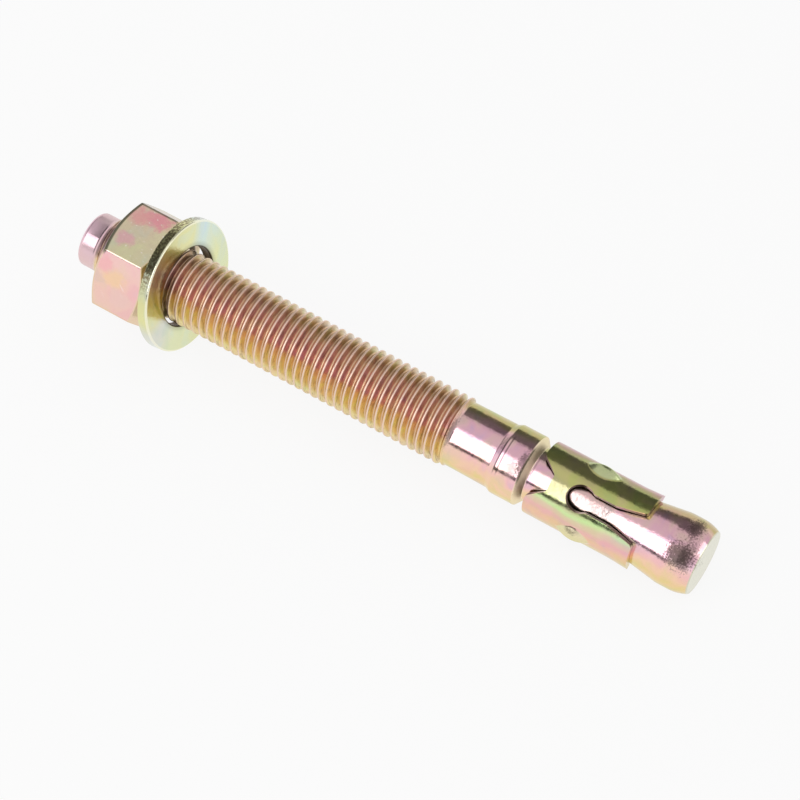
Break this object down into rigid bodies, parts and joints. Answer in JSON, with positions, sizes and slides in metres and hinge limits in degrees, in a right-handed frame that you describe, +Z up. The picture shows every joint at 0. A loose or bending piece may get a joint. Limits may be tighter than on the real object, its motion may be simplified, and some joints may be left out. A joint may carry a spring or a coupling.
{
  "type": "wedge anchor",
  "caption": "Torque-expanded wedge anchor: threaded stud with a collar and an end cone, a rolled expansion clip on its neck, a flat washer and a hexagon nut.",
  "frame": {"origin": "on the floor, at the middle of the lying anchor's box seen from above", "axes": "+X along the lying anchor from the dog point towards the cone, +Z up; the stud's axis falls 2.9 degrees towards the cone, because the washer's rim holds the threaded end up"},
  "size_m": [0.1508, 0.0296, 0.0296],
  "materials": {
    "stud_zinc": "steel, zinc plated and iridescent yellow passivated, smooth",
    "clip_zinc": "steel strip, zinc plated and iridescent yellow passivated",
    "washer_zinc": "steel, zinc plated and pale yellow passivated, stamped",
    "nut_zinc": "steel, zinc plated and iridescent yellow passivated, lightly scratched"
  },
  "bodies": {
    "stud": {"stud": "stud_zinc"},
    "clip": {"clip": "clip_zinc"},
    "washer": {"washer": "washer_zinc"},
    "nut": {"nut": "nut_zinc"}
  },
  "joints": [
    {"name": "clip_play", "type": "slide", "parent": "stud", "child": "clip", "axis": [0.9987, 0, -0.0512], "range_m": [-0.0019, 0]},
    {"name": "nut_travel", "type": "slide", "parent": "stud", "child": "washer", "axis": [0.9987, 0, -0.0512], "range_m": [-0.012, 0.071]},
    {"name": "nut_turn", "type": "hinge", "parent": "washer", "child": "nut", "pos_m": [-0.06118, 0, 0.01478], "axis": [0.9987, 0, -0.0512], "range_deg": [-2161, 12781]}
  ],
  "couplings": [
    {"joint": "nut_turn", "follows": "nut_travel", "rad_per_m": 3141.6}
  ]
}
